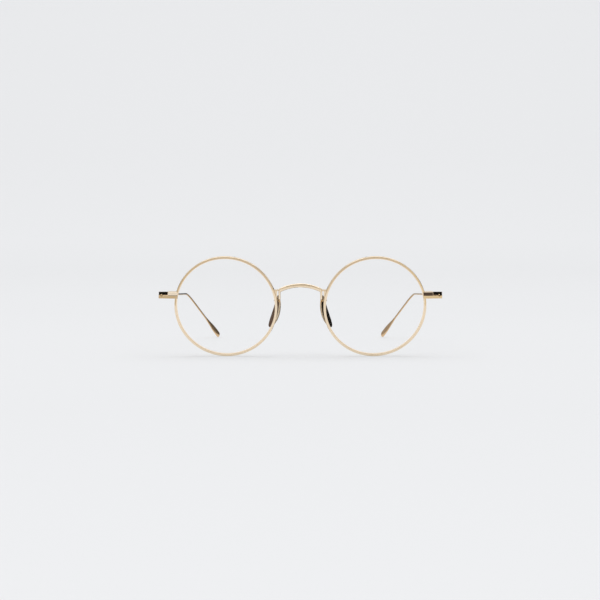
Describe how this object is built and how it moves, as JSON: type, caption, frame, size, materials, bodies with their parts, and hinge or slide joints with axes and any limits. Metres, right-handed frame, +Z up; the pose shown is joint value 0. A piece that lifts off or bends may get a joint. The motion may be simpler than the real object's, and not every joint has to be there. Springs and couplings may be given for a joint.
{
  "type": "eyeglasses",
  "caption": "Round metal-rimmed eyeglasses with clear lenses, an arched bridge, metal nose pads and slim folding wire temples.",
  "frame": {"origin": "middle of the footprint, at the level of the surface that the open glasses stand on", "axes": "+Z up, +Y from the lenses back along the temples, +X to the wearer's left"},
  "size_m": [0.1346, 0.1374, 0.0482],
  "materials": {
    "pale_gold": "polished",
    "pad_gold": "satin",
    "screw_gold": "polished",
    "nylon": "matte",
    "clear_lens": "gloss"
  },
  "bodies": {
    "front": {"rim_left": "pale_gold", "lock_block_left": "pale_gold", "endpiece_left": "pale_gold", "front_hinge_left": "pale_gold", "bridge_foot_left": "pale_gold", "pad_arm_left": "pale_gold", "pad_box_left": "pale_gold", "lock_screw_left": "screw_gold", "hinge_rivet_left": "screw_gold", "hinge_screw_left": "screw_gold", "pad_screw_left": "screw_gold", "lens_left": "clear_lens", "hinge_washer_upper_left": "nylon", "hinge_washer_lower_left": "nylon", "rim_right": "pale_gold", "lock_block_right": "pale_gold", "endpiece_right": "pale_gold", "front_hinge_right": "pale_gold", "bridge_foot_right": "pale_gold", "pad_arm_right": "pale_gold", "pad_box_right": "pale_gold", "lock_screw_right": "screw_gold", "hinge_rivet_right": "screw_gold", "hinge_screw_right": "screw_gold", "pad_screw_right": "screw_gold", "lens_right": "clear_lens", "hinge_washer_upper_right": "nylon", "hinge_washer_lower_right": "nylon", "bridge": "pale_gold"},
    "left_temple": {"temple_hinge_left": "pale_gold", "temple_wire_left": "pale_gold"},
    "right_temple": {"temple_hinge_right": "pale_gold", "temple_wire_right": "pale_gold"},
    "left_nose_pad": {"nose_pad_left": "pad_gold"},
    "right_nose_pad": {"nose_pad_right": "pad_gold"}
  },
  "joints": [
    {"name": "left_temple_fold", "type": "hinge", "parent": "front", "child": "left_temple", "pos_m": [0.0652, -0.05559, 0.02925], "axis": [0, 0.0454, 0.999], "range_deg": [0, 81]},
    {"name": "right_temple_fold", "type": "hinge", "parent": "front", "child": "right_temple", "pos_m": [-0.0652, -0.05559, 0.02925], "axis": [0, -0.0454, -0.999], "range_deg": [0, 68]},
    {"name": "left_nose_pad_rock", "type": "hinge", "parent": "front", "child": "left_nose_pad", "pos_m": [0.01133, -0.05647, 0.02659], "axis": [0.5592, 0.829, 0], "range_deg": [-6, 6]},
    {"name": "right_nose_pad_rock", "type": "hinge", "parent": "front", "child": "right_nose_pad", "pos_m": [-0.01133, -0.05647, 0.02659], "axis": [0.5592, -0.829, 0], "range_deg": [-6, 6]}
  ]
}
